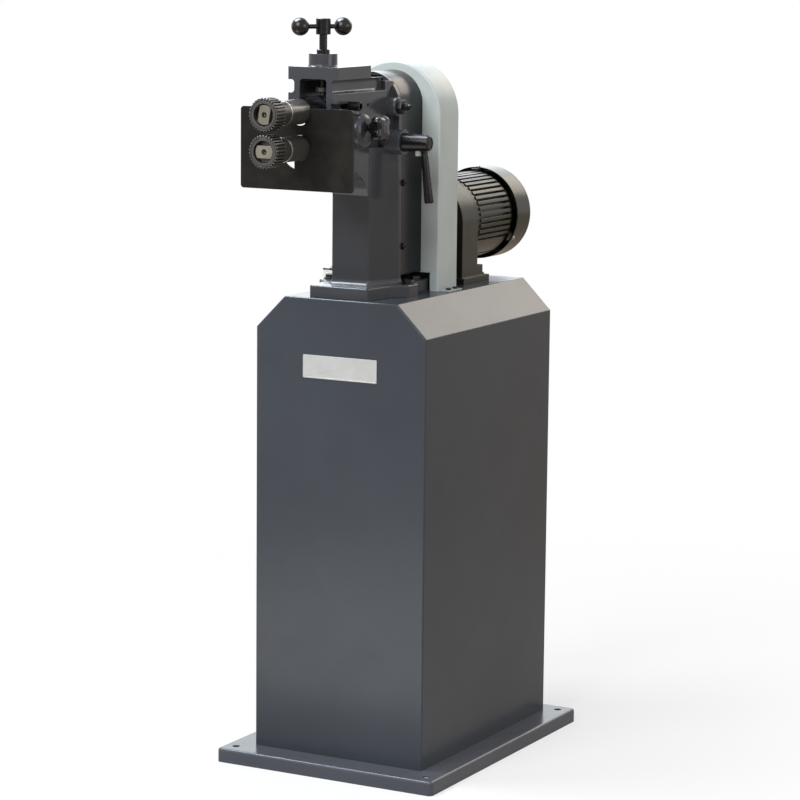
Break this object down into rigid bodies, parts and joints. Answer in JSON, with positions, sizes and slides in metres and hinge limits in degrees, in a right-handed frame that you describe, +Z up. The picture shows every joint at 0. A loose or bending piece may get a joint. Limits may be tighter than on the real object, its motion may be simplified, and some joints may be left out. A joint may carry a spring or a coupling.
{
  "type": "electric bead roller",
  "caption": "Floor-standing electric bead roller: sheet cabinet, cast head with geared rolls, tilting upper sleeve with screw feed, sliding fence, and a motor with reducer and drive guard.",
  "frame": {"origin": "centre of the base tray's plan, on the floor", "axes": "+Z up, -Y the way the rolls point (the operator's side), +X to the right seen from the operator"},
  "size_m": [0.45, 0.863, 1.373],
  "materials": {
    "cabinet_paint": "semi-gloss slate grey enamel",
    "casting_paint": "semi-gloss graphite paint over a rough casting",
    "case_paint": "semi-gloss graphite paint",
    "guard_paint": "satin light grey-green enamel",
    "motor_paint": "satin black paint on a finned housing",
    "cover_paint": "satin black paint on pressed sheet",
    "reducer_paint": "satin black paint over a casting",
    "raw_steel": "oiled mill finish",
    "black_steel": "black oxide, lightly oiled",
    "ground_steel": "ground and oiled",
    "bronze": "turned",
    "black_plastic": "moulded, semi-gloss",
    "grey_plastic": "moulded, matte",
    "blank_plate": "plain brushed plate",
    "start_green": "moulded",
    "stop_red": "moulded"
  },
  "bodies": {
    "machine": {"base_tray": "cabinet_paint", "cabinet_shell": "cabinet_paint", "top_stiffener": "raw_steel", "rear_panel": "cabinet_paint", "rear_panel_screws": "black_steel", "name_plate": "blank_plate", "frame_casting": "casting_paint", "foot_bolts": "black_steel", "gear_case": "case_paint", "case_screws": "black_steel", "side_screw": "black_steel", "pivot_studs": "black_steel", "pivot_nuts": "black_steel", "rear_bush": "bronze", "spindle_bush": "black_steel", "lift_spring": "raw_steel", "drive_guard": "guard_paint", "guard_back": "guard_paint", "guard_screws": "black_steel", "reducer_housing": "reducer_paint", "reducer_bolts": "black_steel", "front_shield": "motor_paint", "motor_frame": "motor_paint", "stator": "raw_steel", "rear_shield": "motor_paint", "fan_cover": "cover_paint", "cover_screws": "black_steel", "terminal_box": "black_plastic", "switch_box": "grey_plastic", "switch_panel": "black_plastic"},
    "upper_arm": {"upper_sleeve": "ground_steel", "upper_bushes": "bronze"},
    "upper_drive": {"upper_shaft": "ground_steel", "upper_roll": "black_steel", "upper_gear": "ground_steel"},
    "lower_quill": {"lower_sleeve": "ground_steel", "lower_bushes": "bronze"},
    "lower_drive": {"lower_shaft": "ground_steel", "lower_roll": "black_steel", "lower_gear": "ground_steel", "large_gear": "ground_steel"},
    "output_drive": {"output_shaft": "ground_steel", "output_gear": "ground_steel"},
    "counter_drive": {"countershaft": "ground_steel"},
    "rotor": {"motor_rotor": "raw_steel", "cooling_fan": "black_plastic"},
    "pad": {"pressure_pad": "ground_steel"},
    "feed_screw": {"feed_spindle": "black_steel", "handle_hub": "black_steel", "handle_bar": "black_steel", "ball_knobs": "black_plastic"},
    "fence": {"fence_plate": "black_steel", "fence_rod": "black_steel"},
    "fence_knob": {"star_knob": "black_plastic"},
    "sleeve_clamp": {"clamp_lever": "black_steel"},
    "start": {"start_button": "start_green"},
    "stop": {"stop_button": "stop_red"}
  },
  "joints": [
    {"name": "rocker_tilt", "type": "hinge", "parent": "machine", "child": "upper_arm", "pos_m": [-0.01, -0.138, 1.212], "axis": [-1, 0, 0], "range_deg": [-0.4, 1.42], "deforming": ["lift_spring"]},
    {"name": "upper_spin", "type": "hinge", "parent": "upper_arm", "child": "upper_drive", "pos_m": [-0.01, -0.1, 1.212], "axis": [0, 1, 0], "continuous": true},
    {"name": "sleeve_slide", "type": "slide", "parent": "machine", "child": "lower_quill", "axis": [0, 1, 0], "range_m": [-0.004, 0.004]},
    {"name": "lower_spin", "type": "hinge", "parent": "lower_quill", "child": "lower_drive", "pos_m": [-0.01, -0.1, 1.149], "axis": [0, 1, 0], "continuous": true},
    {"name": "output_spin", "type": "hinge", "parent": "machine", "child": "output_drive", "pos_m": [-0.01, -0.1, 1.023], "axis": [0, 1, 0], "continuous": true},
    {"name": "counter_spin", "type": "hinge", "parent": "machine", "child": "counter_drive", "pos_m": [0.02169, -0.1, 1.00027], "axis": [0, 1, 0], "continuous": true},
    {"name": "rotor_spin", "type": "hinge", "parent": "machine", "child": "rotor", "pos_m": [-0.01, -0.1, 0.984], "axis": [0, 1, 0], "continuous": true},
    {"name": "pad_feed", "type": "slide", "parent": "machine", "child": "pad", "axis": [0, 0, 1], "range_m": [-0.001, 0.00377]},
    {"name": "feed_turn", "type": "hinge", "parent": "pad", "child": "feed_screw", "pos_m": [-0.01, -0.293, 1.3], "axis": [0, 0, 1], "range_deg": [-181, 680]},
    {"name": "fence_slide", "type": "slide", "parent": "machine", "child": "fence", "axis": [0, 1, 0], "range_m": [-0.05, 0.03]},
    {"name": "knob_turn", "type": "hinge", "parent": "machine", "child": "fence_knob", "pos_m": [0.08, -0.259, 1.1805], "axis": [1, 0, 0], "range_deg": [0, 180]},
    {"name": "lever_turn", "type": "hinge", "parent": "machine", "child": "sleeve_clamp", "pos_m": [0.08, -0.138, 1.149], "axis": [1, 0, 0], "range_deg": [-60, 75]},
    {"name": "start_press", "type": "slide", "parent": "machine", "child": "start", "axis": [0, 0, -1], "range_m": [0, 0.0025], "stiffness_N_per_m": 400},
    {"name": "stop_press", "type": "slide", "parent": "machine", "child": "stop", "axis": [0, 0, -1], "range_m": [0, 0.0025], "stiffness_N_per_m": 400}
  ],
  "couplings": [
    {"joint": "upper_spin", "follows": "lower_spin", "ratio": -1},
    {"joint": "output_spin", "follows": "lower_spin", "ratio": -2},
    {"joint": "counter_spin", "follows": "lower_spin", "ratio": 6.6667},
    {"joint": "rotor_spin", "follows": "lower_spin", "ratio": -25},
    {"joint": "feed_turn", "follows": "pad_feed", "rad_per_m": 3141.6},
    {"joint": "rocker_tilt", "follows": "pad_feed", "rad_per_m": 6.4516}
  ]
}
